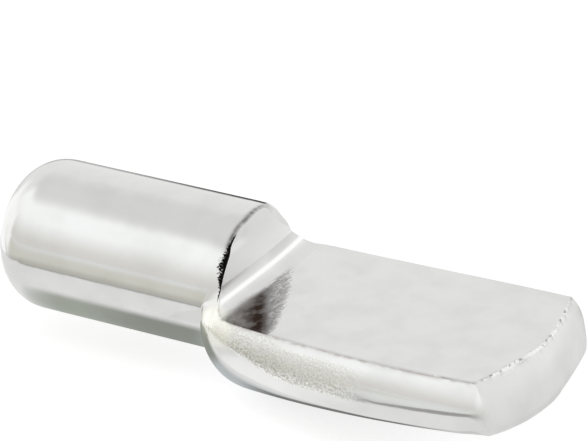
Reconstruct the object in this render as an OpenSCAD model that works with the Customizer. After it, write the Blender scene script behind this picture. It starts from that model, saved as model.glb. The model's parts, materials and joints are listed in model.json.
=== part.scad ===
// Shelf support pin: a round peg for a drilled panel, pressed at the other end
// into a spoon with a flat seat on top and a rounded belly underneath.
// Millimetres. The peg lies along X with its axis on z = 0, the panel's face is
// the plane x = 0, the spoon points to +X and the seat faces +Z.

/* [Peg] */
// diameter of the peg, which fits a 1/4 inch shelf hole
peg_d = 6.35; // [5:0.05:7]
// how far the peg reaches into the panel
peg_len = 10.42; // [7:0.01:16]
// radius of the rounded edge at the peg's end
peg_round = 1.85; // [0.3:0.05:2.3]

/* [Step] */
// distance from the panel's face to the step
step_x = 0.87; // [0.5:0.01:2]
// height of the seat above the peg's axis
seat_z = 0.12; // [-0.6:0.02:0.6]
// radius of the hollow between the step and the seat
step_fillet = 0.8; // [0.2:0.05:1.2]
// radius of the rounded top rim of the step
rim_round = 0.35; // [0.05:0.05:0.5]
// how much the bar's radius falls from the panel's face to the spoon's root
stub_draft = 0.06; // [0.02:0.01:0.15]

/* [Spoon] */
// distance from the panel's face to the tip
spoon_len = 14.38; // [11:0.02:20]
// greatest width just past the shoulder
shoulder_w = 9.24; // [7.6:0.02:11.5]
// greatest width halfway along
middle_w = 10.12; // [8.2:0.02:12.5]
// greatest width at the tip
tip_w = 9.5; // [7.6:0.02:11.5]
// depth of the belly below the peg's axis past the shoulder
shoulder_depth = 3.96; // [3.1:0.02:4.6]
// depth of the belly below the peg's axis halfway along
middle_depth = 3.04; // [2.6:0.02:4]
// depth of the belly below the peg's axis at the tip
tip_depth = 2.44; // [2.1:0.02:3.2]
// depth of the widest line past the shoulder
shoulder_line = 0.88; // [0.6:0.02:1.2]
// depth of the widest line halfway along
middle_line = 1.3; // [0.8:0.02:1.5]
// depth of the widest line at the tip
tip_line = 1.2; // [0.8:0.02:1.5]
// reach of the side's curve above the widest line past the shoulder
shoulder_crown = 2.5; // [2:0.05:4.5]
// reach of the side's curve above the widest line at the tip
tip_crown = 3.5; // [2.6:0.05:4.5]
// squareness of the belly past the shoulder, 2 is an ellipse
shoulder_square = 2.2; // [2:0.05:3]
// squareness of the belly at the tip, 2 is an ellipse
tip_square = 4.1; // [2:0.05:4.5]

/* [Shoulder] */
// length over which the shoulder swells from the peg
shoulder_run = 2.35; // [1.5:0.05:3.5]
// bluntness of the swell, 2 is a quarter ellipse
shoulder_blunt = 2.6; // [1.6:0.05:3.5]

/* [Tip] */
// slope of each half of the tip as seen from above
tip_slope = 0.13; // [0:0.005:0.25]
// width over which the two halves blend
tip_blend = 0.5; // [0.2:0.02:1.5]
// extra bow of the tip, as a share of the width squared
tip_bow = 0.015; // [0:0.001:0.03]
// depth of the foremost line of the tip
tip_nose = 1.84; // [1.2:0.02:1.9]
// radius of the tip's upper curve
tip_upper_r = 2.7; // [2:0.05:4]
// set-back of the tip's lower curve
tip_under = 1.34; // [0.3:0.02:1.5]
// bluntness of the tip's lower curve, 2 is a quarter ellipse
tip_blunt = 1.65; // [1.4:0.05:3]

/* [Finish] */
// colour used for the plated steel
plate_tone = 0.82; // [0.5:0.01:1]
// share of that colour's blue that is kept
plate_warmth = 0.97; // [0.8:0.01:1]

/* [Hidden] */
$fn = 96;
over = 1;
skim = 0.01;
root_inset = 0.28;
tip_inset = 1.8;
settle_inset = 0.7;
shoulder_outset = 0.15;
steepest = 0.95;
peg_r = peg_d / 2;
root_r = peg_r - root_inset;
root_x = step_x + step_fillet + over;
shoulder_x = shoulder_run + shoulder_outset;
middle_x = spoon_len / 2;
tip_x = spoon_len - tip_inset;
cut_z = seat_z + skim;
belly_spokes = 44;
crown_spokes = 12;
spokes = belly_spokes + crown_spokes;
rings = 32;
ring_power = 1.7;
cap_rings = 8;
settle_steps = 14;

// Value at x of the parabola through the three stations along the spoon.
function station(x, a, b, c) =
    a * (x - middle_x) * (x - tip_x) / ((shoulder_x - middle_x) * (shoulder_x - tip_x))
    + b * (x - shoulder_x) * (x - tip_x) / ((middle_x - shoulder_x) * (middle_x - tip_x))
    + c * (x - shoulder_x) * (x - middle_x) / ((tip_x - shoulder_x) * (tip_x - middle_x));

// Value at x on the straight line between the shoulder and tip stations.
function ramp(x, a, b) = a + (b - a) * (x - shoulder_x) / (tip_x - shoulder_x);

// Share of the swell reached at x, from 0 at the panel's face to 1.
function swell(x) =
    let (left = 1 - min(max(x / shoulder_run, 0), 1))
    pow(1 - pow(left, shoulder_blunt), 1 / shoulder_blunt);

function half_w(x) =
    root_r + (station(x, shoulder_w, middle_w, tip_w) / 2 - root_r) * swell(x);

function line_z(x) = -station(x, shoulder_line, middle_line, tip_line);

function belly_z(x) =
    -root_r - (station(x, shoulder_depth, middle_depth, tip_depth) - root_r) * swell(x);

function crown(x) = ramp(x, shoulder_crown, tip_crown);

function square_of(x) = 2 + (ramp(x, shoulder_square, tip_square) - 2) * swell(x);

// Distance from the centre to a rounded square of power n, along angle a.
function reach(a, n) = pow(pow(abs(cos(a)), n) + pow(abs(sin(a)), n), -1 / n);

// Angle at which the section at x passes the seat's height, just above the cut.
function seat_angle(x) = asin(min((cut_z - line_z(x)) / crown(x), steepest));

// Angle of spoke j at x. The first spokes go down round the belly from one
// edge of the seat to the other, and the rest go back over the crown.
function spoke_angle(x, j) =
    let (edge = seat_angle(x))
    j <= belly_spokes
        ? edge - j * (180 + 2 * edge) / belly_spokes
        : 180 - edge - (j - belly_spokes) * (180 - 2 * edge) / crown_spokes;

// Point of the section at x on spoke j.
function rim_yz(x, j) =
    let (a = spoke_angle(x, j))
    let (up = sin(a) >= 0)
    let (high = up ? crown(x) : line_z(x) - belly_z(x))
    let (r = reach(a, up ? 2 : square_of(x)))
    [half_w(x) * r * cos(a), line_z(x) + high * r * sin(a)];

// Set-back of the tip at height z, measured from its foremost line.
function nose_back(z) =
    let (up = min(max(min(z, cut_z) + tip_nose, 0), steepest * tip_upper_r))
    let (fall = tip_depth - tip_nose + skim)
    let (down = min(max(-tip_nose - z, 0) / fall, 1))
    tip_upper_r - sqrt(pow(tip_upper_r, 2) - pow(up, 2))
    + tip_under * (1 - pow(1 - pow(down, tip_blunt), 1 / tip_blunt));

// X of the tip's surface over the point y, z.
function nose_x(p) =
    spoon_len
    - tip_slope * (sqrt(pow(p[0], 2) + pow(tip_blend, 2)) - tip_blend)
    - tip_bow * pow(p[0], 2)
    - nose_back(p[1]);

// X where the side's curve on spoke j runs into the tip.
function end_x(j, x = spoon_len - settle_inset, left = settle_steps) =
    left == 0 ? x : end_x(j, nose_x(rim_yz(x, j)), left - 1);

ends = [for (j = [0 : spokes - 1]) end_x(j)];

function side_point(i, j) =
    let (x = ends[j] * pow(i / rings, ring_power))
    let (p = rim_yz(x, j))
    [x, p[0], p[1]];

// Middle of the tip's face, where the closing rings meet.
tip_core = [0, -tip_line];

function cap_point(i, j) =
    let (share = 1 - i / cap_rings)
    let (edge = rim_yz(ends[j], j))
    let (p = tip_core + share * (edge - tip_core))
    [nose_x(p), p[0], p[1]];

function around(j) = (j + 1) % spokes;

// Spoon before the seat is cut: rings along the side, then rings over the tip.
module spoon_blank() {
    side = [for (i = [0 : rings]) for (j = [0 : spokes - 1]) side_point(i, j)];
    cap = [for (i = [1 : cap_rings - 1]) for (j = [0 : spokes - 1]) cap_point(i, j)];
    rows = rings + cap_rings;
    root = rows * spokes;
    front = root + 1;
    last = root - spokes;
    points = concat(side, cap, [[0, 0, line_z(0)], [nose_x(tip_core), tip_core[0], tip_core[1]]]);
    skin = [
        for (i = [0 : rows - 2]) for (j = [0 : spokes - 1])
            for (tri = [
                [i * spokes + j, i * spokes + around(j), (i + 1) * spokes + around(j)],
                [i * spokes + j, (i + 1) * spokes + around(j), (i + 1) * spokes + j]
            ]) tri
    ];
    back_fan = [for (j = [0 : spokes - 1]) [around(j), j, root]];
    tip_fan = [for (j = [0 : spokes - 1]) [last + j, last + around(j), front]];
    polyhedron(points = points, faces = concat(skin, back_fan, tip_fan), convexity = 4);
}

// Outline of the metal taken off above the seat, seen from the side.
module cut_outline() {
    reach_x = spoon_len + over;
    translate([step_x + step_fillet, seat_z])
        square([reach_x, peg_d]);
    translate([step_x, seat_z + step_fillet])
        square([reach_x, peg_d]);
    translate([step_x + step_fillet, seat_z + step_fillet])
        circle(r = step_fillet);
}

module seat_cut() {
    rotate([90, 0, 0])
        linear_extrude(height = 2 * middle_w, center = true)
            cut_outline();
}

// Round bar with a rounded back end. Past the panel's face it tapers a little
// and runs on into the spoon, so the fitting length ends at that face.
module peg() {
    rotate([0, 90, 0])
        rotate_extrude() {
            translate([0, -peg_len]) {
                square([peg_r - peg_round, peg_len]);
                translate([0, peg_round])
                    square([peg_r, peg_len - peg_round]);
                intersection() {
                    translate([peg_r - peg_round, peg_round])
                        circle(r = peg_round);
                    square([peg_r, peg_round]);
                }
            }
            polygon([[0, 0], [peg_r, 0], [peg_r - stub_draft, root_x], [0, root_x]]);
        }
}

// Turned shape that the rim of the step is rounded to. Its axis is set low, so
// the rounding fades out down both sides.
module rim_form() {
    form_r = peg_r + rim_round;
    translate([0, 0, -rim_round])
        rotate([0, 90, 0])
            rotate_extrude()
                intersection() {
                    square([form_r, step_x + over]);
                    union() {
                        square([form_r, step_x - rim_round]);
                        square([form_r - rim_round, step_x + over]);
                        translate([form_r - rim_round, step_x - rim_round])
                            circle(r = rim_round);
                    }
                }
}

// Metal taken off the rim of the step, above the hollow curve.
module rim_cut() {
    low = seat_z + step_fillet;
    difference() {
        translate([step_x - rim_round, -peg_d, low])
            cube([2 * rim_round, 2 * peg_d, peg_d]);
        rim_form();
    }
}

module pin() {
    color([plate_tone, plate_tone, plate_tone * plate_warmth])
        difference() {
            union() {
                peg();
                spoon_blank();
            }
            seat_cut();
            rim_cut();
        }
}

pin();
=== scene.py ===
import json
import math

import bmesh
import bpy
import numpy as np
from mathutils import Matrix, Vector


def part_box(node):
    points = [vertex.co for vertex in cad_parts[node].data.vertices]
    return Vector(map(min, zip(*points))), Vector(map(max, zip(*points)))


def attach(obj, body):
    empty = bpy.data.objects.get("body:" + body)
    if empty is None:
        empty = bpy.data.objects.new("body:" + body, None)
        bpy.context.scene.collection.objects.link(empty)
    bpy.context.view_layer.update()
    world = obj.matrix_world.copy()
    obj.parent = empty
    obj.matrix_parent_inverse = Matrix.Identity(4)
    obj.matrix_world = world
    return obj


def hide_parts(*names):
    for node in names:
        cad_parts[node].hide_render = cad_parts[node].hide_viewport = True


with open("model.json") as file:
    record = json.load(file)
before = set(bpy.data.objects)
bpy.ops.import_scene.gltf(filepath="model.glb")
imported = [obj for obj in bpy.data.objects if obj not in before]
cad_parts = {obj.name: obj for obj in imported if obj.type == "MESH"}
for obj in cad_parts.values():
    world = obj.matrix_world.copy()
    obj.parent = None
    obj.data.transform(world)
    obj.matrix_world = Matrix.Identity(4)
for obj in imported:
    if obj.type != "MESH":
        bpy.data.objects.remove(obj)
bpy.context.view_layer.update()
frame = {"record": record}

MM = 0.001


def mount(name):
    return next(m for m in frame["record"]["mounts"] if m["name"] == name)


# Sizes in millimetres, in the CAD's frame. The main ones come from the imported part.
LOW, HIGH = (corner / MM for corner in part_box("pin"))
PEG_R = mount("peg")["dims"]["r_mm"]
SEAT_Z = mount("seat")["pos_m"][2] / MM
PEG_LEN = -LOW.x
SPOON_LEN = HIGH.x
MIDDLE_W = HIGH.y - LOW.y
PEG_ROUND = 1.85
STUB_DRAFT = 0.06
STUB_DRAFT_RUN = 2.67
STUB_DRAFT_END = 3.0
ROOT_INSET = 0.28
ROOT_R = PEG_R - ROOT_INSET
STEP_X = 0.87
STEP_FILLET = 0.8
BAR_END = 2.0
RIM_FAR = 0.48
RIM_NEAR = 0.07
SHOULDER_W = 9.24
TIP_W = 9.5
DEPTHS = (3.96, 3.04, 2.44)
LINES = (0.88, 1.3, 1.2)
CROWNS = (2.5, 3.5)
CROWN_ROOT = 0.38
CROWN_GROWS = (-1.2, 2.4)
SQUARES = (2.2, 4.1)
SHOULDER_RUN = 2.35
SHOULDER_BLUNT = 2.6
SHOULDER_X = SHOULDER_RUN + 0.15
MIDDLE_X = SPOON_LEN / 2
END_X = SPOON_LEN - 1.8
TIP_SLOPE = 0.13
TIP_BLEND = 0.5
TIP_BOW = 0.015
TIP_NOSE = 1.84
TIP_UPPER_R = 2.7
TIP_UNDER = 1.34
TIP_BLUNT = 1.65

# Unevenness of this one pressed sample, which the CAD is without. It is fitted to the
# photo's one view, so it is a guess in the others.
# How far the seat's edges lie off centre at the shoulder, halfway along and at the tip.
LEANS = (0.0, -0.07, 0.155)
# How far the tip's lower far corner is pressed down and its lower near corner up.
ROLL_FAR = 0.3
ROLL_NEAR = 0.20
# How deep the near half of the tip's lower edge sags, and the sag's middle and half width.
TIP_HUMP = 0.24
TIP_HUMP_Y = -2.1
TIP_HUMP_HALF = 2.7
# Where both set in, down from the peg's axis and along X.
ROLL_DOWN = (0.6, 2.0)
ROLL_ALONG = (12.2, 13.3)
# How far the step's face lies back on its far side, and high up on its near side.
STEP_BOW = 0.12
STEP_DENT = 0.10
BOW_SPAN = 3.0
BOW_END = 4.0
BOW_BEFORE = 0.8
BOW_AFTER = 3.0
BOW_RISE = 0.6
DENT_SIDE = (0.5, 1.4)
DENT_FOOT = (2.0, 2.4)
DENT_TOP = (2.85, 3.1)
# Where the step's rim is rounded, and where the shoulder's lip is full, as angles in
# radians from +Y towards +Z.
RIM_FAR_BEGINS = (0.30, 0.75)
RIM_CHANGES = (0.95, 1.45)
RIM_NEAR_ENDS = (2.5, 2.85)
LIP_BEGINS = (2.3, 2.8)
LIP_ENDS = (2.95, 3.2)

# Mesh density, and the small edge breaks that the CAD leaves sharp.
SEARCH_R = 9.0
SEARCH_STEPS = 34
SETTLE_STEPS = 16
ARC_ROWS = 15
DISC_SHARES = (0.2, 0.4, 0.6, 0.8, 0.92, 1.0)
BELLY_COLS = 128
TOP_COLS = 64
PEG_ROWS = 44
SWELL_ROWS = 30
FILLET_ROWS = 14
SEAT_ROWS = 84
NOSE_ROWS = 22
EDGE_DROP = 0.05
EDGE_REACH = 0.12
CREASE_BLEND = 0.12
LIP_BLEND = 0.4
EDGE_COLS = 1.2
SHARP_FROM = math.radians(38)

# Camera.
VIEW_AZ = math.radians(28.79)
VIEW_EL = math.radians(24.33)
LENS = 220.04
SENSOR = 36.0
DISTANCE = 146.87
AIM = Vector((1.49, 1.89, 2.06))


def parabola(x, values):
    a, b, c = values
    p, q, r = SHOULDER_X, MIDDLE_X, END_X
    return (
        a * (x - q) * (x - r) / ((p - q) * (p - r))
        + b * (x - p) * (x - r) / ((q - p) * (q - r))
        + c * (x - p) * (x - q) / ((r - p) * (r - q))
    )


def ramp(x, values):
    a, b = values
    return a + (b - a) * (x - SHOULDER_X) / (END_X - SHOULDER_X)


def crown(x, near):
    """Reach of the side's curve above the widest line: on the near side it starts low."""
    share = CROWN_ROOT + (1 - CROWN_ROOT) * smooth(x, *CROWN_GROWS)
    return ramp(x, CROWNS) * np.where(near, share, 1.0)


def swell(x):
    left = 1 - np.clip(x / SHOULDER_RUN, 0, 1)
    return (1 - left**SHOULDER_BLUNT) ** (1 / SHOULDER_BLUNT)


def swell_place(share):
    return SHOULDER_RUN * (1 - (1 - share**SHOULDER_BLUNT) ** (1 / SHOULDER_BLUNT))


def half_width(x):
    full = parabola(x, (SHOULDER_W, MIDDLE_W, TIP_W)) / 2
    return ROOT_R + (full - ROOT_R) * swell(x)


def widest_z(x):
    return -parabola(x, LINES)


def belly_z(x):
    return -ROOT_R - (parabola(x, DEPTHS) - ROOT_R) * swell(x)


def inside_spoon(x, y, z):
    """Below 1 inside the spoon's section at x, 1 on it."""
    line = widest_z(x)
    up = z >= line
    high = np.where(up, crown(x, y < 0), line - belly_z(x))
    power = np.where(up, 2.0, 2 + (ramp(x, SQUARES) - 2) * swell(x))
    return np.abs(y / half_width(x)) ** power + np.abs((z - line) / high) ** power


def spoon_radius(x, a):
    """Distance from the peg's axis to the spoon's section at x, along angle a from +Y."""
    low = np.zeros(np.broadcast(x, a).shape)
    high = low + SEARCH_R
    for _ in range(SEARCH_STEPS):
        mid = (low + high) / 2
        out = inside_spoon(x, mid * np.cos(a), mid * np.sin(a)) > 1
        high = np.where(out, mid, high)
        low = np.where(out, low, mid)
    return (low + high) / 2


def smooth(value, low, high):
    """0 below low, 1 above high, with an eased way between."""
    t = np.clip((value - low) / (high - low), 0, 1)
    return t * t * (3 - 2 * t)


def rim_size(a):
    """Rounding of the step's rim: crisp on the near side, worn round on the far side."""
    turn = np.mod(a, 2 * math.pi)
    far = smooth(turn, *RIM_FAR_BEGINS) * (1 - smooth(turn, *RIM_CHANGES))
    near = smooth(turn, *RIM_CHANGES) * (1 - smooth(turn, *RIM_NEAR_ENDS))
    return RIM_FAR * far + RIM_NEAR * near + 1e-4


def bar_radius(x, a):
    """Radius of the round bar at x: rounded at its back end and at the step's rim."""
    back = np.clip(PEG_ROUND - (x + PEG_LEN), 0, PEG_ROUND)
    r = PEG_R - PEG_ROUND + np.sqrt(PEG_ROUND**2 - back**2)
    r = r - STUB_DRAFT * np.clip(x, 0, STUB_DRAFT_END) / STUB_DRAFT_RUN
    rim = rim_size(a)
    over = np.clip(x - (STEP_X - rim), 0, rim)
    return r - rim + np.sqrt(np.maximum(rim**2 - over**2, 0))


def skin_radius(x, a):
    """Bar and spoon together, with a small blend where they meet."""
    bar = np.where(x < BAR_END, bar_radius(x, a), 0)
    spoon = np.where(x > 0, spoon_radius(np.maximum(x, 1e-6), a), 0)
    turn = np.mod(a, 2 * math.pi)
    lip = smooth(turn, *LIP_BEGINS) * (1 - smooth(turn, *LIP_ENDS))
    blend = CREASE_BLEND + LIP_BLEND * lip
    near = np.clip(blend - np.abs(bar - spoon), 0, None) / blend
    return np.maximum(bar, spoon) + near**2 * blend / 4


def cut_height(x):
    """Height of the hollow curve and the seat at x, past the step."""
    over = np.clip(STEP_X + STEP_FILLET - x, 0, STEP_FILLET)
    return SEAT_Z + STEP_FILLET - np.sqrt(STEP_FILLET**2 - over**2)


def edge_angle(x, near):
    """Angle above the horizontal at which the skin meets the seat's dropped edge."""
    want = cut_height(x) - EDGE_DROP
    rise = np.clip((want - widest_z(x)) / crown(x, near), 0, 0.999)
    spoon = half_width(x) * np.sqrt(1 - rise**2)
    bar = np.sqrt(PEG_R**2 - want**2)
    return np.arctan2(want, np.maximum(spoon, bar))


def nose_back(z):
    up = np.clip(np.minimum(z, SEAT_Z) + TIP_NOSE, 0, 0.97 * TIP_UPPER_R)
    fall = DEPTHS[2] - TIP_NOSE + 0.01
    down = np.clip((-TIP_NOSE - z) / fall, 0, 1)
    under = TIP_UNDER * (1 - (1 - down**TIP_BLUNT) ** (1 / TIP_BLUNT))
    return TIP_UPPER_R - np.sqrt(TIP_UPPER_R**2 - up**2) + under


def nose_x(y, z):
    slope = TIP_SLOPE * (np.sqrt(y**2 + TIP_BLEND**2) - TIP_BLEND)
    return SPOON_LEN - slope - TIP_BOW * y**2 - nose_back(z)


def polar(x, a):
    r = skin_radius(x, a)
    return np.stack([x + 0 * r, r * np.cos(a), r * np.sin(a)], axis=-1)


def bowed(points):
    """Slides what is near the step back on its far side and high up on its near side."""
    x, y, z = points.T
    before = smooth(x, STEP_X - BOW_BEFORE, STEP_X)
    near = before * (1 - smooth(x, STEP_X + STEP_FILLET, STEP_X + BOW_AFTER))
    high = smooth(z, SEAT_Z - BOW_RISE, SEAT_Z)
    back = STEP_BOW * (np.clip(y, 0, BOW_END) / BOW_SPAN) ** 2 * near * high
    dent = smooth(-y, *DENT_SIDE) * smooth(z, *DENT_FOOT) * (1 - smooth(z, *DENT_TOP))
    back = back + STEP_DENT * dent * near
    return np.stack([x - back, y, z], axis=-1)


def leaned(points):
    """Slides the seat sideways a little, and moves the tip's lower edge up and down."""
    x, y, z = points.T
    high = smooth(z, widest_z(x), SEAT_Z) * smooth(x, 1.0, 2.5)
    low = smooth(-z, *ROLL_DOWN) * smooth(x, *ROLL_ALONG)
    roll = np.where(y > 0, -ROLL_FAR, ROLL_NEAR) * (y / (TIP_W / 2)) ** 2
    hump = TIP_HUMP * np.clip(1 - ((y - TIP_HUMP_Y) / TIP_HUMP_HALF) ** 2, 0, None)
    return np.stack([x, y + parabola(x, LEANS) * high, z + (roll - hump) * low], axis=-1)


def belly_angles(x, share):
    """Angles round the belly at x, from the seat's near edge to its far one."""
    near, far = edge_angle(x, True), edge_angle(x, False)
    return math.pi - near + (math.pi + near + far) * share


class Skin:
    """Grows one watertight mesh out of grids of points that share vertices."""

    def __init__(self):
        self.points = []
        self.regions = []
        self.edges = []
        self.faces = []
        self.count = 0

    def add(self, points, region="skin", edge=0.0):
        """Adds points of a region, with how near an edge each is, and gives their numbers."""
        points = np.asarray(points, float).reshape(-1, 3)
        first = self.count
        self.points.append(points)
        self.regions += [region] * len(points)
        self.edges.append(np.zeros(len(points)) + edge)
        self.count += len(points)
        return np.arange(first, self.count)

    def quads(self, rows, wrap=False):
        """Faces between each pair of neighbouring rows of vertex numbers."""
        for one, two in zip(rows[:-1], rows[1:]):
            last = len(one) if wrap else len(one) - 1
            for j in range(last):
                k = (j + 1) % len(one)
                ring = [one[j], one[k], two[k], two[j]]
                face = [v for i, v in enumerate(ring) if v != ring[i - 1]]
                if len(face) > 2:
                    self.faces.append([int(v) for v in face])


def full_ring_places():
    """Places along X of the rings that go all the way round, from the back end to the step."""
    turn = np.linspace(0, math.pi / 2, ARC_ROWS)[1:]
    back = -PEG_LEN + PEG_ROUND * (1 - np.cos(turn))
    shank = np.linspace(-PEG_LEN + PEG_ROUND, -0.12, PEG_ROWS)[1:]
    near = np.array([-0.07, -0.035, -0.012])
    share = np.linspace(0.12, float(swell(STEP_X)), SWELL_ROWS)
    grown = swell_place(share)
    rim = STEP_X - RIM_FAR * (1 - np.sin(np.linspace(0, math.pi / 2, ARC_ROWS)))
    tail = np.unique(np.round(np.concatenate([grown[grown < STEP_X - RIM_FAR], rim]), 5))
    return np.concatenate([back, shank, near, tail])


def side_shares():
    """Columns across the seat, close together next to its edges."""
    edge = np.array([0, 0.0022, 0.0048, 0.008, 0.0125])
    middle = np.linspace(0.018, 0.982, BELLY_COLS + 1 - 2 * len(edge))
    return np.concatenate([edge, middle, 1 - edge[::-1]])


def run_shares():
    """Rows along the seat, close together next to the tip."""
    close = np.array([0.9905, 0.9935, 0.996, 0.998, 1.0])
    return np.concatenate([np.linspace(0, 0.987, SEAT_ROWS), close])


def settle_ends(share):
    """X at which each belly column runs into the tip."""
    x = np.full(share.shape, SPOON_LEN - 0.7)
    for _ in range(SETTLE_STEPS):
        a = belly_angles(x, share)
        p = polar(x, a)
        x = nose_x(p[:, 1], p[:, 2])
    return x


def edge_fall(far):
    """Share of the edge drop at a distance from the edge."""
    return np.clip(1 - far / EDGE_REACH, 0, 1) ** 2


def build_rings(skin, ring_a):
    """Full rings, from the peg's back end to the step. Gives the last one."""
    flat_r = PEG_R - PEG_ROUND
    hub = skin.add([[-PEG_LEN, 0, 0]])
    rings = [np.repeat(hub, len(ring_a))]
    for share in DISC_SHARES:
        r = share * flat_r
        rings.append(skin.add([[-PEG_LEN, r * math.cos(a), r * math.sin(a)] for a in ring_a]))
    for x in full_ring_places():
        rings.append(skin.add(polar(np.full(len(ring_a), x), ring_a)))
    skin.quads(rings, wrap=True)
    return rings[-1]


def build_belly(skin, last_ring, belly_t, fillet_x):
    """Belly, from the step to the tip, in rows between the seat's two edges."""
    start_x = float(fillet_x[-1])
    ends = settle_ends(belly_t)
    places = [np.full(BELLY_COLS + 1, x) for x in fillet_x]
    places += [start_x + (ends - start_x) * u for u in run_shares()[1:]]
    edge = np.exp(-np.minimum(belly_t, 1 - belly_t) * BELLY_COLS / EDGE_COLS)
    rows = [last_ring[: BELLY_COLS + 1]]
    for x in places:
        rows.append(skin.add(polar(x, belly_angles(x, belly_t)), "skin", edge))
    skin.quads(rows)
    return rows


def build_seat(skin, belly_rows, fillet_x):
    """Hollow curve and seat, in rows between the belly's two edges."""
    across = side_shares()
    known = np.concatenate(skin.points)
    near_end, far_end = known[belly_rows[-1][0]], known[belly_rows[-1][-1]]
    front_y = near_end[1] + (far_end[1] - near_end[1]) * across
    front_x = nose_x(front_y, np.full(front_y.shape, SEAT_Z - EDGE_DROP))
    start_x = float(fillet_x[-1])
    places = [np.full(across.shape, STEP_X)]
    places += [np.full(across.shape, x) for x in fillet_x]
    places += [start_x + (front_x - start_x) * u for u in run_shares()[1:]]
    rows = []
    for row, x in zip(belly_rows, places):
        near, far = known[row[0]], known[row[-1]]
        y = near[1] + (far[1] - near[1]) * across
        side = np.minimum(across, 1 - across) * (far[1] - near[1])
        fall = 1 - (1 - edge_fall(side)) * (1 - edge_fall(front_x - x))
        z = cut_height(x) - EDGE_DROP * fall
        inner = skin.add(np.stack([x, y, z], axis=-1)[1:-1], "seat", fall[1:-1])
        rows.append(np.concatenate([row[:1], inner, row[-1:]]))
    skin.quads(rows)
    return rows


def build_step_face(skin, first_row, last_ring):
    """Face of the step, in rows between mirrored points of the last full ring."""
    across = side_shares()
    known = np.concatenate(skin.points)
    rows = [first_row]
    half = TOP_COLS // 2
    for k in range(1, half):
        far_v = last_ring[BELLY_COLS + k]
        near_v = last_ring[BELLY_COLS + TOP_COLS - k]
        near, far = known[near_v], known[far_v]
        line = near + (far - near) * across[:, None]
        inner = skin.add(line[1:-1], "face")
        rows.append(np.concatenate([[near_v], inner, [far_v]]))
    apex = last_ring[BELLY_COLS + half]
    rows.append(np.full(len(across), apex))
    skin.quads(rows)


def build_tip(skin, top_row, low_row):
    """Face of the tip, in rows from the seat's last row down to the belly's."""
    known = np.concatenate(skin.points)
    rows = [top_row]
    for q in range(1, NOSE_ROWS):
        flat = known[top_row] + (known[low_row] - known[top_row]) * (q / NOSE_ROWS)
        y, z = flat[1:-1, 1], flat[1:-1, 2]
        inner = skin.add(np.stack([nose_x(y, z), y, z], axis=-1), "nose", math.exp(-q))
        rows.append(np.concatenate([top_row[:1], inner, top_row[-1:]]))
    rows.append(low_row)
    skin.quads(rows)


def build_skin():
    skin = Skin()
    belly_t = np.linspace(0, 1, BELLY_COLS + 1)
    top_t = np.linspace(0, 1, TOP_COLS + 1)[1:-1]
    belly_a = belly_angles(np.full(BELLY_COLS + 1, STEP_X), belly_t)
    top_a = belly_a[-1] + (2 * math.pi + belly_a[0] - belly_a[-1]) * top_t
    fillet_turn = np.linspace(0, math.pi / 2, FILLET_ROWS)[1:]
    fillet_x = STEP_X + STEP_FILLET * (1 - np.cos(fillet_turn))
    last_ring = build_rings(skin, np.concatenate([belly_a, top_a]))
    belly_rows = build_belly(skin, last_ring, belly_t, fillet_x)
    seat_rows = build_seat(skin, belly_rows, fillet_x)
    build_step_face(skin, seat_rows[0], last_ring)
    build_tip(skin, seat_rows[-1], belly_rows[-1])
    return skin


# Where the tool tore the near rim and its undercut's shade is painted near-black, as angles down from
# the top and widths back from the step.
TEAR_SHADE_TURNS = (30, 42, 48, 53, 59, 64, 69, 74, 80, 83)
TEAR_SHADE_WIDTHS = (0.0, 0.13, 0.24, 0.32, 0.34, 0.27, 0.21, 0.13, 0.07, 0.0)
# The grey painted reflection that carries on from it over the top of the rim.
RIM_REFLECTION_TURNS = (-30, -8, 10, 26, 40, 52, 60)
RIM_REFLECTION_DEPTHS = (0.0, 0.7, 0.85, 0.75, 0.9, 0.6, 0.0)
RIM_REFLECTION_WIDTH = 0.24
# How dark the smear in the seat's corner, tarnish with a painted dark reflection, is along the line
# that crosses it.
SMEAR_REFLECTION_PLACES = (-3.4, -2.4, -1.6, -1.1, -0.76, -0.3, -0.15, 0.22, 0.42, 0.7, 1.04, 1.5, 2.0, 2.5, 3.2)
SMEAR_REFLECTION_DEPTHS = (0.3, 0.66, 0.76, 0.79, 0.83, 0.92, 1.0, 1.0, 0.84, 0.8, 0.58, 0.48, 0.42, 0.36, 0.0)
SMEAR_REFLECTION_LEAN = 1.82
SMEAR_REFLECTION_RISE = 0.94


def tear_shade_field(points, regions):
    """1 at the step's rim, falling to 0 at the far side of the torn strip with its painted shade."""
    x, y, z = points.T
    turn = np.degrees(np.arctan2(-y, z))
    width = np.interp(turn, TEAR_SHADE_TURNS, TEAR_SHADE_WIDTHS)
    field = 1 - (STEP_X - x) / np.maximum(width, 1e-3)
    inside = (x <= STEP_X + 1e-6) & (width > 0) & (regions == "skin")
    return np.where(inside, np.clip(field, -1, 1), -1)


def rim_reflection_field(points, regions):
    """The painted dark reflection is darkest just behind the rim."""
    x, y, z = points.T
    turn = np.degrees(np.arctan2(-y, z))
    depth = np.interp(turn, RIM_REFLECTION_TURNS, RIM_REFLECTION_DEPTHS)
    near = np.exp(-(((x - STEP_X + 0.10) / (RIM_REFLECTION_WIDTH / 2)) ** 2))
    return depth * near * (x <= STEP_X + 1e-6) * (regions == "skin")


def hollow_turn(points, regions):
    """How far round the hollow curve a point is: 0 at the step's face, 1 at the seat."""
    x = points[:, 0]
    over = np.clip((x - STEP_X) / STEP_FILLET, 0, 1)
    turn = np.arccos(1 - over) / (math.pi / 2)
    return np.where(regions == "seat", turn, 0)


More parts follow.
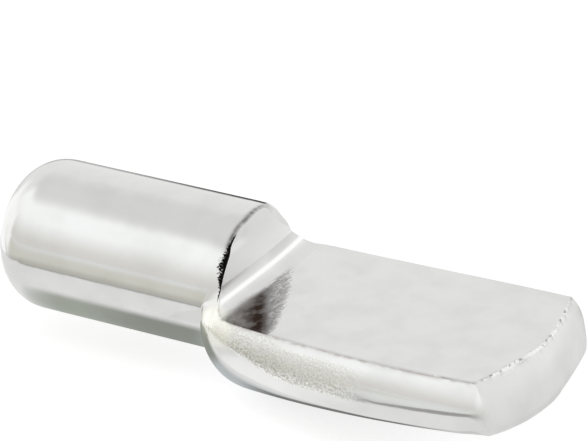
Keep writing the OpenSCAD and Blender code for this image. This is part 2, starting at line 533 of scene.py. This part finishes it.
def smear_and_reflection_field(points):
    """Tarnish and a painted dark reflection in the corner between the seat and the step, in the
    outline of the step's arc.
    """
    x, y = points.T[:2]
    out = x - STEP_X
    across = y + SMEAR_REFLECTION_LEAN * out
    rise = SEAT_Z + SMEAR_REFLECTION_RISE * out
    room = np.sqrt(np.maximum(PEG_R**2 - rise**2, 0)) - across
    depth = np.interp(across, SMEAR_REFLECTION_PLACES, SMEAR_REFLECTION_DEPTHS)
    low = 0.42 + 0.22 * smooth(y, -2.2, -0.9)
    inner = smooth(out, low, 0.86) * (1 - smooth(rise, 2.6, 3.1))
    return depth * smooth(room, -0.15, 0.55) * inner


def paint_fields(points, regions, edges):
    """What the material needs to know of the shape, as numbers on the vertices."""
    x, y = points.T[:2]
    near_step = 1 - smooth(x, STEP_X + 0.7, STEP_X + 1.0)
    seat = (regions == "seat").astype(float)
    front = (x > SPOON_LEN - 3.4) & ((regions == "seat") | (regions == "nose"))
    return {
        "seat": seat,
        "face": (regions == "face").astype(float),
        "nose": (regions == "nose").astype(float),
        "hollow": seat * near_step,
        "edge": edges * ~front,
        "burr": edges * front,
        "turn": hollow_turn(points, regions),
        "smear_and_reflection": smear_and_reflection_field(points) * seat,
        "bristle": smooth(y + SMEAR_REFLECTION_LEAN * (x - STEP_X), 0.1, 0.5) * seat,
        "tear_shade": tear_shade_field(points, regions),
        "rim_reflection": rim_reflection_field(points, regions),
    }


def make_pin():
    skin = build_skin()
    points = np.concatenate(skin.points)
    fields = paint_fields(points, np.array(skin.regions), np.concatenate(skin.edges))
    points = leaned(bowed(points))
    points = np.clip(points, np.array(LOW) + 1e-4, np.array(HIGH) - 1e-4)
    mesh = bpy.data.meshes.new("pin_skin")
    mesh.from_pydata((points * MM).tolist(), [], skin.faces)
    mesh.update()
    for name, values in fields.items():
        layer = mesh.attributes.new(name, "FLOAT", "POINT")
        layer.data.foreach_set("value", values.astype(np.float32))
    pin = bpy.data.objects.new("pin_skin", mesh)
    bpy.context.scene.collection.objects.link(pin)
    tidy_normals(mesh)
    return pin


def tidy_normals(mesh):
    """Turns all faces outwards, tells of any hole, and shades smooth but for the edges."""
    bm = bmesh.new()
    bm.from_mesh(mesh)
    bmesh.ops.recalc_face_normals(bm, faces=bm.faces)
    if bm.calc_volume(signed=True) < 0:
        bmesh.ops.reverse_faces(bm, faces=bm.faces)
    loose = sum(1 for e in bm.edges if len(e.link_faces) != 2)
    print("open edges", loose, "faces", len(bm.faces), "volume mm3", bm.calc_volume() / MM**3)
    bm.to_mesh(mesh)
    bm.free()
    mesh.shade_smooth()
    mesh.set_sharp_from_angle(angle=SHARP_FROM)


def build_camera():
    back = Vector(
        (
            math.sin(VIEW_AZ) * math.cos(VIEW_EL),
            -math.cos(VIEW_AZ) * math.cos(VIEW_EL),
            math.sin(VIEW_EL),
        )
    )
    data = bpy.data.cameras.new("camera")
    data.lens = LENS
    data.sensor_width = SENSOR
    data.clip_start = 0.005
    data.clip_end = 5
    cam = bpy.data.objects.new("camera", data)
    cam.location = (AIM + back * DISTANCE) * MM
    cam.rotation_euler = (-back).to_track_quat("-Z", "Y").to_euler()
    bpy.context.scene.collection.objects.link(cam)
    bpy.context.scene.camera = cam


class Nodes:
    """Short names for the few node kinds the materials use."""

    def __init__(self, tree):
        self.tree = tree

    def new(self, kind, **settings):
        node = self.tree.nodes.new(kind)
        for name, value in settings.items():
            setattr(node, name, value)
        return node

    def put(self, socket, value):
        if isinstance(value, bpy.types.NodeSocket):
            self.tree.links.new(value, socket)
        else:
            socket.default_value = value

    def math(self, operation, a, b=0.0, clamp=False):
        node = self.new("ShaderNodeMath", operation=operation, use_clamp=clamp)
        self.put(node.inputs[0], a)
        self.put(node.inputs[1], b)
        return node.outputs[0]

    def ease(self, value, low, high, out_low=0.0, out_high=1.0):
        node = self.new("ShaderNodeMapRange", interpolation_type="SMOOTHSTEP")
        self.put(node.inputs["Value"], value)
        self.put(node.inputs["From Min"], low)
        self.put(node.inputs["From Max"], high)
        self.put(node.inputs["To Min"], out_low)
        self.put(node.inputs["To Max"], out_high)
        return node.outputs["Result"]

    def band(self, value, low, high, soft):
        """1 between low and high, easing to 0 within soft outside them."""
        rise = self.ease(value, low - soft, low)
        fall = self.ease(value, high, high + soft, 1.0, 0.0)
        return self.math("MULTIPLY", rise, fall)

    def mix(self, share, one, two):
        node = self.new("ShaderNodeMix", data_type="RGBA")
        self.put(node.inputs["Factor"], share)
        self.put(node.inputs["A"], one)
        self.put(node.inputs["B"], two)
        return node.outputs["Result"]

    def blend(self, share, one, two):
        node = self.new("ShaderNodeMix", data_type="FLOAT")
        self.put(node.inputs["Factor"], share)
        self.put(node.inputs["A"], one)
        self.put(node.inputs["B"], two)
        return node.outputs["Result"]


def grey(level, tint=(1.0, 1.0, 1.0)):
    return (level * tint[0], level * tint[1], level * tint[2], 1.0)


def link_stage(name, mesh):
    obj = bpy.data.objects.new(name, mesh)
    bpy.context.scene.collection.objects.link(obj)
    return obj


def only_reflected(obj):
    """Metal sees this stage piece, and the camera, the floor's light and the shadows don't."""
    obj.visible_camera = False
    obj.visible_diffuse = False
    obj.visible_shadow = False


# The light tent round the object, as levels of its walls. 1 is white paper.
TENT_R = 400.0
TENT_TOP = 0.79
TENT_BACK = 0.9
TENT_HORIZON = 0.78
WINDOW = 1.12
BACK_GLOW = 1.08
END_WHITE = 1.12
# Where those are, in degrees round from the front and up, each last number a soft edge.
FRONT_AROUND = (-85, 70, 22)
WALL_AROUND = (-112, -74, 9)
GLOW_AROUND = (140, 160, 14)
GLOW_UP = (10, 24, 10)
TOP_UP = (38, 56)
FRONT_UP = (2, 36)
FRONT_ENDS_UP = (46, 60)
WALL_ENDS_UP = (12, 34)
# Tints of the papers.
WARM = (1.0, 0.985, 0.95)
COOL = (0.985, 1.0, 1.0)
EVEN = (1.0, 1.0, 0.995)


def radians(degrees):
    return [math.radians(d) for d in degrees]


def tent_colour(n):
    """Walls of the tent: plain cloth, a window in front, a white wall left, a glow behind."""
    place = n.new("ShaderNodeTexCoord").outputs["Object"]
    turn = n.new("ShaderNodeVectorMath", operation="NORMALIZE")
    n.put(turn.inputs[0], place)
    axes = n.new("ShaderNodeSeparateXYZ")
    n.put(axes.inputs[0], turn.outputs[0])
    x, y, z = axes.outputs
    height = n.math("ARCSINE", z)
    around = n.math("ARCTAN2", x, n.math("MULTIPLY", y, -1.0))
    front = n.band(around, *radians(FRONT_AROUND))
    low_front = n.ease(height, *radians(FRONT_UP))
    colour = n.mix(n.ease(height, *radians(TOP_UP)), grey(TENT_BACK, EVEN), grey(TENT_TOP, EVEN))
    front_cloth = n.mix(low_front, grey(TENT_HORIZON, WARM), grey(WINDOW, COOL))
    window = n.math("MULTIPLY", front, n.ease(height, *radians(FRONT_ENDS_UP), 1.0, 0.0))
    colour = n.mix(window, colour, front_cloth)
    wall = n.band(around, *radians(WALL_AROUND))
    wall = n.math("MULTIPLY", wall, n.ease(height, *radians(WALL_ENDS_UP), 1.0, 0.0))
    colour = n.mix(wall, colour, grey(END_WHITE))
    glow_around = n.band(around, *radians(GLOW_AROUND))
    glow = n.math("MULTIPLY", glow_around, n.band(height, *radians(GLOW_UP)))
    return n.mix(glow, colour, grey(BACK_GLOW))


# Colours of the plate and of its wear, and of the painted highlights, reflections and shade on it.
PLATE = (0.82, 0.82, 0.812, 1.0)
PLATE_DULL = (0.76, 0.76, 0.745, 1.0)
PLATE_WARM = (0.80, 0.79, 0.74, 1.0)
# Painted light: the step's face is coloured lighter than the plate.
FACE_PAINTED_LIGHT = (0.91, 0.91, 0.905, 1.0)
# Painted highlight on the shoulder's lip, lighter and warmer than the plate.
LIP_PAINTED_HIGHLIGHT = (0.93, 0.92, 0.85, 1.0)
BURR_DARK = (0.30, 0.285, 0.27, 1.0)
# Painted highlight white, used for the face's foot, the glints on the burr and the line in the
# hollow.
PAINTED_HIGHLIGHT = (0.99, 0.99, 0.99, 1.0)
SPECK_DARK = (0.60, 0.585, 0.53, 1.0)
SPECK_LIGHT = (0.95, 0.95, 0.92, 1.0)
# Tarnish with a painted dark reflection in the seat's corner.
TARNISH_AND_REFLECTION = (0.066, 0.043, 0.033, 1.0)
# Painted dark reflection on the top of the step's rim.
RIM_REFLECTION_DARK = (0.11, 0.105, 0.10, 1.0)
# Painted near-black shade of the torn strip's undercut.
TEAR_SHADE_DARK = (0.012, 0.011, 0.010, 1.0)
EDGE_DARK = (0.33, 0.275, 0.245, 1.0)
# Radius of the soft shading on all edges and on the tip's upright corners, and where
# along X the second sets in.
EDGE_SOFT = 0.06
TIP_SOFT = 1.1
TIP_SOFT_FROM = 12.6
TIP_SOFT_TO = 13.3
TIP_SOFT_DOWN = (-0.55, -0.12)

# Where things lie on the pin, in millimetres; a third number is a soft edge.
PIT_ALONG = (1.9, 7.0, 1.6)
PIT_LINE_X = (1.2, 5.0)
PIT_LINE_Z = (-0.75, -1.55)
PIT_OVER = (0.1, 1.3, 0.15)
SPECK_OVER = (0.2, 1.0)
SPECK_SHARES = (0.8, 0.25)
# Where the lip's painted highlight lies, along X, to the side and up.
LIP_HIGHLIGHT_ALONG = (-0.9, 1.7, 0.7)
LIP_HIGHLIGHT_SIDE = (-3.7, -3.2)
LIP_HIGHLIGHT_UP = (-1.5, -0.5)
# Heights over which the face's painted light grows to painted highlight white at its foot.
FACE_LIGHT_FOOT = (1.0, 2.6)
TIP_ROUGH_ALONG = (13.0, 13.5)
# The painted highlight line in the hollow, as shares of the way round it, and its strength.
HOLLOW_HIGHLIGHT_TURN = (0.38, 0.44, 0.09)
HOLLOW_HIGHLIGHT = 0.95

# Roughness of each place. A pair goes with a noise.
ROUGH_PLATE = (0.085, 0.14)
ROUGH_SEAT = (0.17, 0.24)
ROUGH_PITTED = 0.2
ROUGH_TIP_SIDE = 0.34
ROUGH_NOSE = 0.36
ROUGH_FACE = 0.58
ROUGH_HOLLOW = 0.33
ROUGH_TORN = 0.7

# Height of the fine relief, in millimetres.
PEEL_HIGH = 0.004
PITS_HIGH = 0.022
BRUSH_HIGH = 0.0006
BURR_HIGH = 0.10


def field(n, name):
    node = n.new("ShaderNodeAttribute", attribute_name=name)
    return node.outputs["Fac"]


def noise(n, place, scale, detail=2.0, stretch=(1, 1, 1)):
    """Noise from 0 to 1 with that many bumps a millimetre."""
    move = n.new("ShaderNodeVectorMath", operation="MULTIPLY")
    n.put(move.inputs[0], place)
    n.put(move.inputs[1], stretch)
    node = n.new("ShaderNodeTexNoise")
    n.put(node.inputs["Vector"], move.outputs[0])
    n.put(node.inputs["Scale"], scale)
    n.put(node.inputs["Detail"], detail)
    return node.outputs["Fac"]


class Plate:
    """What the parts of the plate's material share: places, fields and noises."""

    def __init__(self, n):
        self.n = n
        self.place, (self.x, self.y, self.z) = place_in_mm(n)
        self.seat, self.face, self.nose = field(n, "seat"), field(n, "face"), field(n, "nose")
        self.mottle = noise(n, self.place, 0.55, 3.0)
        self.grain = noise(n, self.place, 9.0, 3.0)
        self.brushed = noise(n, self.place, 9.0, 3.0, (1.0, 0.14, 1.0))
        self.jag = noise(n, self.place, 5.0, 3.0, (0.45, 1.0, 1.0))
        self.burr = field(n, "burr")

    def times(self, a, b):
        return self.n.math("MULTIPLY", a, b)


def pits(p):
    """The spoon's side was not pressed smooth: it keeps a fine pitted skin, with specks."""
    n = p.n
    off_top = n.math("SUBTRACT", 1.0, n.math("MAXIMUM", p.seat, n.math("MAXIMUM", p.face, p.nose)))
    line = n.ease(p.x, *PIT_LINE_X, *PIT_LINE_Z)
    over = n.math("SUBTRACT", p.z, line)
    pitted = p.times(p.times(n.band(p.x, *PIT_ALONG), n.band(over, *PIT_OVER)), off_top)
    return pitted, p.times(pitted, n.ease(over, *SPECK_OVER, *SPECK_SHARES))


def bare_colour(p, pitted, specked):
    """The plate with its pits, the fuller lip of the shoulder with a painted highlight, worn edges,
    and the step's face painted lighter, lightest at its foot.
    """
    n = p.n
    speck = noise(n, p.place, 11.0, 1.0)
    colour = n.mix(n.ease(p.mottle, 0.35, 0.75), PLATE, PLATE_DULL)
    colour = n.mix(p.times(pitted, n.ease(p.grain, 0.3, 0.8)), colour, PLATE_WARM)
    colour = n.mix(p.times(specked, n.ease(speck, 0.52, 0.62)), colour, SPECK_DARK)
    colour = n.mix(p.times(specked, n.ease(speck, 0.36, 0.44, 1.0, 0.0)), colour, SPECK_LIGHT)
    lip = p.times(n.band(p.x, *LIP_HIGHLIGHT_ALONG), n.ease(p.y, *LIP_HIGHLIGHT_SIDE, 1.0, 0.0))
    # Painted highlight on the lip, growing towards its top.
    colour = n.mix(p.times(lip, n.ease(p.z, *LIP_HIGHLIGHT_UP)), colour, LIP_PAINTED_HIGHLIGHT)
    worn = n.math("POWER", field(n, "edge"), 2.5)
    colour = n.mix(p.times(worn, n.ease(p.jag, 0.4, 0.62, 0.3, 0.75)), colour, EDGE_DARK)
    # The step's face gets painted light, lightest at its foot.
    return n.mix(p.face, colour, n.mix(n.ease(p.z, *FACE_LIGHT_FOOT), PAINTED_HIGHLIGHT, FACE_PAINTED_LIGHT))


def burr_glint_colour(p, colour):
    """Painted glints and dark flecks on the burr along the tip's upper edge."""
    n = p.n
    burr = n.math("POWER", p.burr, 1.6)
    flecks = noise(n, p.place, 3.6, 2.0)
    # White flecks are painted glints on the burr.
    colour = n.mix(p.times(burr, n.ease(flecks, 0.47, 0.54)), colour, PAINTED_HIGHLIGHT)
    return n.mix(p.times(burr, n.ease(flecks, 0.40, 0.46, 0.8, 0.0)), colour, BURR_DARK)


def smear_and_reflection_share(p):
    """How much tarnish and painted dark reflection lie on the seat's corner: blotchy inside, hairy at
    its far end.
    """
    n = p.n
    hairs = noise(n, p.place, 12.0, 2.0, (1.0, 0.16, 1.0))
    streaks = n.ease(p.times(n.math("ADD", hairs, p.grain), 0.5), 0.38, 0.62, -0.2, 0.16)
    blotch = noise(n, p.place, 3.2, 3.0, (1.0, 0.55, 1.0))
    strength = n.ease(blotch, 0.35, 0.65, 1.08, 0.88)
    smear_and_reflection = n.math("MULTIPLY", field(n, "smear_and_reflection"), strength, clamp=True)
    streaks = p.times(streaks, n.blend(field(n, "bristle"), 0.3, 1.0))
    return n.math("ADD", smear_and_reflection, p.times(streaks, n.band(smear_and_reflection, 0.1, 0.5, 0.1)), clamp=True)


def torn_shade_share(p):
    """The torn strip at the step's rim, with a ragged edge, its undercut's shade painted near-black.
    """
    n = p.n
    fine_jag = noise(n, p.place, 17.0, 3.0, (0.55, 1.0, 1.0))
    ragged = n.math("ADD", p.times(p.jag, 0.25), p.times(fine_jag, 0.75))
    tear_shade = field(n, "tear_shade")
    torn_shade = n.math("ADD", tear_shade, p.times(n.math("SUBTRACT", ragged, 0.5), 3.2))
    return p.times(n.ease(torn_shade, 0.0, 0.42), n.ease(tear_shade, -0.95, -0.4))


def roughness(p, pitted, torn_shade):
    n = p.n
    rough = n.blend(n.ease(p.mottle, 0.3, 0.8), *ROUGH_PLATE)
    rough = n.blend(pitted, rough, ROUGH_PITTED)
    rough = n.blend(n.ease(p.x, *TIP_ROUGH_ALONG), rough, ROUGH_TIP_SIDE)
    rough = n.blend(p.seat, rough, n.blend(n.ease(p.brushed, 0.3, 0.7), *ROUGH_SEAT))
    rough = n.blend(p.nose, rough, ROUGH_NOSE)
    rough = n.blend(p.face, rough, ROUGH_FACE)
    rough = n.blend(field(n, "hollow"), rough, ROUGH_HOLLOW)
    return n.blend(torn_shade, rough, ROUGH_TORN)


def relief(p, pitted):
    """Fine relief of the whole skin, as a height in millimetres."""
    n = p.n
    height = p.times(noise(n, p.place, 1.3, 2.0), PEEL_HIGH)
    height = n.math("ADD", height, p.times(p.times(p.grain, pitted), PITS_HIGH))
    height = n.math("ADD", height, p.times(p.times(p.brushed, p.seat), BRUSH_HIGH))
    return n.math("ADD", height, p.times(p.times(p.jag, p.burr), BURR_HIGH))


def shaded_normal(p, height):
    """The relief on top of edges that are shaded soft."""
    n = p.n
    along = n.ease(p.x, TIP_SOFT_FROM, TIP_SOFT_TO)
    corner = p.times(along, n.ease(p.z, *TIP_SOFT_DOWN, 1.0, 0.0))
    soft = n.new("ShaderNodeBevel", samples=8)
    n.put(soft.inputs["Radius"], n.blend(corner, EDGE_SOFT * MM, TIP_SOFT * MM))
    bump = n.new("ShaderNodeBump")
    n.put(bump.inputs["Normal"], soft.outputs["Normal"])
    n.put(bump.inputs["Height"], height)
    n.put(bump.inputs["Distance"], MM)
    n.put(bump.inputs["Strength"], 1.0)
    return bump.outputs["Normal"]


def plated_steel():
    mat = bpy.data.materials.new("plated_steel")
    mat.use_nodes = True
    n = Nodes(mat.node_tree)
    shader = mat.node_tree.nodes["Principled BSDF"]
    p = Plate(n)
    pitted, specked = pits(p)
    smear_and_reflection, torn_shade = smear_and_reflection_share(p), torn_shade_share(p)
    colour = burr_glint_colour(p, bare_colour(p, pitted, specked))
    # Tarnish and painted dark reflection in the seat's corner.
    colour = n.mix(smear_and_reflection, colour, TARNISH_AND_REFLECTION)
    # Painted highlight line along the hollow.
    hollow_highlight = p.times(n.band(field(n, "turn"), *HOLLOW_HIGHLIGHT_TURN), HOLLOW_HIGHLIGHT)
    colour = n.mix(hollow_highlight, colour, PAINTED_HIGHLIGHT)
    # Painted dark reflection over the top of the rim.
    rim_reflection = p.times(field(n, "rim_reflection"), n.ease(p.jag, 0.25, 0.6, 0.6, 1.0))
    colour = n.mix(rim_reflection, colour, RIM_REFLECTION_DARK)
    # Painted near-black shade in the torn strip.
    n.put(shader.inputs["Base Color"], n.mix(torn_shade, colour, TEAR_SHADE_DARK))
    dull = n.math("MAXIMUM", torn_shade, smear_and_reflection)
    n.put(shader.inputs["Metallic"], n.math("SUBTRACT", 1.0, dull))
    n.put(shader.inputs["IOR"], n.blend(dull, 1.5, 1.01))
    n.put(shader.inputs["Roughness"], roughness(p, pitted, torn_shade))
    n.put(shader.inputs["Normal"], shaded_normal(p, relief(p, pitted)))
    return mat


def emission_material(name, build):
    mat = bpy.data.materials.new(name)
    mat.use_nodes = True
    n = Nodes(mat.node_tree)
    mat.node_tree.nodes.clear()
    shine = n.new("ShaderNodeEmission")
    colour = build(n)
    n.put(shine.inputs["Color"], colour)
    out = n.new("ShaderNodeOutputMaterial")
    n.put(out.inputs["Surface"], shine.outputs[0])
    return mat


def build_tent():
    bm = bmesh.new()
    bmesh.ops.create_icosphere(bm, subdivisions=4, radius=TENT_R * MM)
    mesh = bpy.data.meshes.new("tent")
    bm.to_mesh(mesh)
    bm.free()
    mesh.materials.append(emission_material("tent", tent_colour))
    only_reflected(link_stage("tent", mesh))


# Cards that only the metal sees, on the floor and one upright behind. Their places and
# tones are fitted to the photo's reflections from its one view. The front one ends in a
# bent edge, given as places along X and how far in front of the pin's axis it is there.
FLOOR_GAP = 0.02
CARD_LIFT = 0.015
EDGE_PLACES = (-360.0, -19.5, -15.5, -4.0, 0.0, 4.0, 12.0, 60.0)
EDGE_OUT = (1.0, 3.5, 9.5, 9.5, 8.4, 9.3, 11.7, 26.0)
FRONT_DEEP = 120.0
SIDE_PLACES = (-3.5, 0.0, 4.0, 12.0, 60.0)
SIDE_OUT = 4.6
END_CARD = ((-360, -1), (-19.5, -3.5), (-19.5, 8), (-360, 200))
NOSE_CARD = ((14.6, -4.6), (60, -4.6), (60, 6.5), (14.6, 6.5))
FAR_CARD = ((3, 6.5), (60, 6.5), (60, 70), (3, 70))
BACK_CARD = ((-25, 12), (-5, 12), (-17.5, 41), (-39, 41))
BOARD_Y = 40.0
BOARD_ENDS = (-42.0, -15.0)
BOARD_TOP = 3.5
BOARD_FADE = 4.5
UNDER_CARD = ((-13, -4.6), (12.5, -4.6), (12.5, 3.2), (-13, 3.2))
CARD_LINE = 0.55
CARD_LINE_TIP = 8.5
CARD_LINE_TONE = 0.38
FAR_TONE = 0.86
NOSE_TONE = 0.85
OUTLINE_TONE = 0.07
OUTLINE_PALE = 0.5
OUTLINE_Y = 15.0
OUTLINE_SLANT = 0.48
OUTLINE_DARKENS = (-18.0, -7.5)
GREENISH = (0.94, 1.0, 0.90)
PALE_GREEN = (0.985, 1.0, 0.985)
BLUISH = (0.95, 1.0, 1.02)
YELLOWISH = (1.0, 0.985, 0.90)


def place_in_mm(n):
    place = n.new("ShaderNodeVectorMath", operation="SCALE")
    n.put(place.inputs[0], n.new("ShaderNodeTexCoord").outputs["Object"])
    n.put(place.inputs["Scale"], 1 / MM)
    axes = n.new("ShaderNodeSeparateXYZ")
    n.put(axes.inputs[0], place.outputs[0])
    return place.outputs[0], axes.outputs


def front_card_colour(n):
    """Grey paper that ends in a dark edge next to the pin."""
    _, axes = place_in_mm(n)
    out = field(n, "out")
    along = n.ease(axes[0], -3.0, 4.5)
    near = n.mix(along, grey(0.52, YELLOWISH), grey(0.76, PALE_GREEN))
    middle = n.mix(along, grey(0.71, YELLOWISH), grey(0.85, PALE_GREEN))
    colour = n.mix(n.ease(out, 0.0, 7.0), near, middle)
    colour = n.mix(n.ease(out, 7.0, 60.0), colour, grey(0.83, PALE_GREEN))
    slant = n.math("ADD", n.math("MULTIPLY", axes[0], -0.45), axes[1])
    colour = n.mix(n.ease(slant, 0.0, 8.0), colour, grey(END_WHITE))
    width = n.ease(axes[0], 5.0, 13.0, CARD_LINE, CARD_LINE_TIP)
    line = n.mix(n.ease(axes[0], 4.0, 9.0), grey(0.30), grey(CARD_LINE_TONE, WARM))
    return n.mix(n.ease(n.math("DIVIDE", out, width), 0.7, 1.0, 1.0, 0.0), colour, line)


def side_card_colour(n):
    """White paper next to the shoulder, a little greyer to either side of it."""
    _, axes = place_in_mm(n)
    white = n.mix(n.ease(axes[0], -2.4, -0.9), grey(0.80), grey(1.02))
    return n.mix(n.ease(axes[0], 3.4, 6.8), white, grey(0.87))


def under_card_colour(n):
    """The painted shade under the peg, paler to the back end, and the painted shadow line under the
    spoon.
    """
    _, axes = place_in_mm(n)
    side = n.ease(axes[1], -4.4, -3.2)
    shade = n.mix(n.ease(axes[0], -11.5, -8.5), grey(0.86), grey(0.45, GREENISH))
    shade = n.mix(n.ease(axes[0], -8.0, -4.0), shade, grey(0.32, GREENISH))
    shade = n.mix(n.ease(axes[0], -2.2, -0.6), shade, grey(0.56, BLUISH))
    colour = n.mix(side, grey(0.86), shade)
    spoon_ends = n.ease(axes[0], 8.5, 11.5, 1.0, 0.0)
    under_spoon = n.math("MULTIPLY", n.ease(axes[0], 0.5, 3.2), spoon_ends)
    colour = n.mix(n.ease(axes[0], 9.5, 12.0), colour, grey(0.70))
    inward = n.math("SUBTRACT", axes[1], n.ease(axes[0], 2.5, 6.5, 0.9, 0.0))
    return n.mix(n.math("MULTIPLY", under_spoon, n.ease(inward, -4.5, -4.1)), colour, grey(0.20))


def outline_tone(n, axes):
    """Dark towards the step and paler towards the peg's back end, along slanted lines."""
    behind = n.math("SUBTRACT", axes[1], OUTLINE_Y)
    across = n.math("ADD", axes[0], n.math("MULTIPLY", behind, OUTLINE_SLANT))
    return n.mix(n.ease(across, *OUTLINE_DARKENS), grey(OUTLINE_PALE), grey(OUTLINE_TONE))


def back_card_colour(n):
    """The same dark as the board, on the floor in front of it."""
    _, axes = place_in_mm(n)
    return outline_tone(n, axes)


def board_colour(n):
    """Dark low board behind, which draws the thin dark outlines of polished metal."""
    _, axes = place_in_mm(n)
    dark = outline_tone(n, axes)
    return n.mix(n.ease(axes[2], BOARD_TOP - BOARD_FADE, BOARD_TOP), dark, grey(TENT_BACK))


def build_card(name, corners, build):
    mesh = bpy.data.meshes.new(name)
    mesh.from_pydata([Vector(corner) * MM for corner in corners], [], [tuple(range(len(corners)))])
    mesh.materials.append(emission_material(name, build))
    only_reflected(link_stage(name, mesh))


def build_strip(name, places, inner, outer, z, build):
    """Card between two lines along X, with the distance out from the second on its points."""
    count = len(places)
    rows = [(x, -y, z) for x, y in zip(places, inner)] + [(x, -y, z) for x, y in zip(places, outer)]
    faces = [(i, i + 1, count + i + 1, count + i) for i in range(count - 1)]
    mesh = bpy.data.meshes.new(name)
    mesh.from_pydata([Vector(row) * MM for row in rows], [], faces)
    layer = mesh.attributes.new("out", "FLOAT", "POINT")
    layer.data.foreach_set("value", [0.0] * count + [b - a for a, b in zip(inner, outer)])
    mesh.materials.append(emission_material(name, build))
    only_reflected(link_stage(name, mesh))


def build_cards():
    floor_z = LOW.z - FLOOR_GAP + CARD_LIFT
    deep = [FRONT_DEEP] * len(EDGE_PLACES)
    build_strip("front_card", EDGE_PLACES, EDGE_OUT, deep, floor_z, front_card_colour)
    near = np.interp(SIDE_PLACES, EDGE_PLACES, EDGE_OUT).tolist()
    build_strip("side_card", SIDE_PLACES, [SIDE_OUT] * len(near), near, floor_z, side_card_colour)
    build_card("under_card", [(x, y, floor_z) for x, y in UNDER_CARD], under_card_colour)
    build_card("end_card", [(x, y, floor_z) for x, y in END_CARD], lambda n: grey(END_WHITE))
    build_card("nose_card", [(x, y, floor_z) for x, y in NOSE_CARD], lambda n: grey(NOSE_TONE))
    build_card("far_card", [(x, y, floor_z) for x, y in FAR_CARD], lambda n: grey(FAR_TONE))
    build_card("back_card", [(x, y, floor_z) for x, y in BACK_CARD], back_card_colour)
    left, right = BOARD_ENDS
    board = [(left, floor_z), (right, floor_z), (right, BOARD_TOP), (left, BOARD_TOP)]
    build_card("back_board", [(x, BOARD_Y, z) for x, z in board], board_colour)


# Levels of the world's light and of the floor, and how much the floor is lifted to white.
WORLD_LIGHT = 0.3
FLOOR_TONE = 0.76
FLOOR_GLOW = 0.72
FLOOR_GLOW_IN_METAL = 0.5
FLOOR_HALF = 380.0

# The lamp over the object, which lights the floor and sets its shadow.
LAMP_SIZE = 170.0
LAMP_AT = Vector((-10, -40, 190))
LAMP_POWER = 0.075


def build_lamp():
    data = bpy.data.lights.new("softbox", "AREA")
    data.shape = "SQUARE"
    data.size = LAMP_SIZE * MM
    data.energy = LAMP_POWER
    lamp = bpy.data.objects.new("softbox", data)
    lamp.location = LAMP_AT * MM
    lamp.rotation_euler = (-LAMP_AT).to_track_quat("-Z", "Y").to_euler()
    lamp.visible_glossy = False
    bpy.context.scene.collection.objects.link(lamp)


def build_world():
    """White behind the object for the camera and for reflections, a plain level for the rest."""
    world = bpy.data.worlds.new("studio")
    world.use_nodes = True
    bpy.context.scene.world = world
    n = Nodes(world.node_tree)
    path = n.new("ShaderNodeLightPath").outputs
    seen = n.math("MAXIMUM", path["Is Camera Ray"], path["Is Glossy Ray"])
    seen = n.math("MAXIMUM", seen, path["Is Transmission Ray"])
    back = world.node_tree.nodes["Background"]
    n.put(back.inputs["Color"], (1, 1, 1, 1))
    n.put(back.inputs["Strength"], n.blend(seen, WORLD_LIGHT, 1.0))


def floor_material():
    """Pale matt paper, lifted to white where it is seen, so its shadow stays."""
    mat = bpy.data.materials.new("floor")
    mat.use_nodes = True
    n = Nodes(mat.node_tree)
    shader = mat.node_tree.nodes["Principled BSDF"]
    path = n.new("ShaderNodeLightPath").outputs
    seen = n.math("MAXIMUM", path["Is Camera Ray"], path["Is Transmission Ray"])
    lift = n.math("MULTIPLY", seen, FLOOR_GLOW)
    lift = n.math("ADD", lift, n.math("MULTIPLY", path["Is Glossy Ray"], FLOOR_GLOW_IN_METAL))
    n.put(shader.inputs["Base Color"], grey(FLOOR_TONE))
    n.put(shader.inputs["Roughness"], 0.9)
    n.put(shader.inputs["Specular IOR Level"], 0.0)
    n.put(shader.inputs["Emission Color"], grey(1.0))
    n.put(shader.inputs["Emission Strength"], lift)
    return mat


def build_floor():
    size = FLOOR_HALF * MM
    z = (LOW.z - FLOOR_GAP) * MM
    mesh = bpy.data.meshes.new("floor")
    corners = [(-size, -size, z), (size, -size, z), (size, size, z), (-size, size, z)]
    mesh.from_pydata(corners, [], [(0, 1, 2, 3)])
    mesh.materials.append(floor_material())
    link_stage("floor", mesh)


pin = make_pin()
pin.data.materials.append(plated_steel())
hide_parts("pin")
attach(pin, "root")
build_floor()
build_tent()
build_cards()
build_lamp()
build_world()
build_camera()
bpy.context.scene.view_settings.view_transform = "Standard"
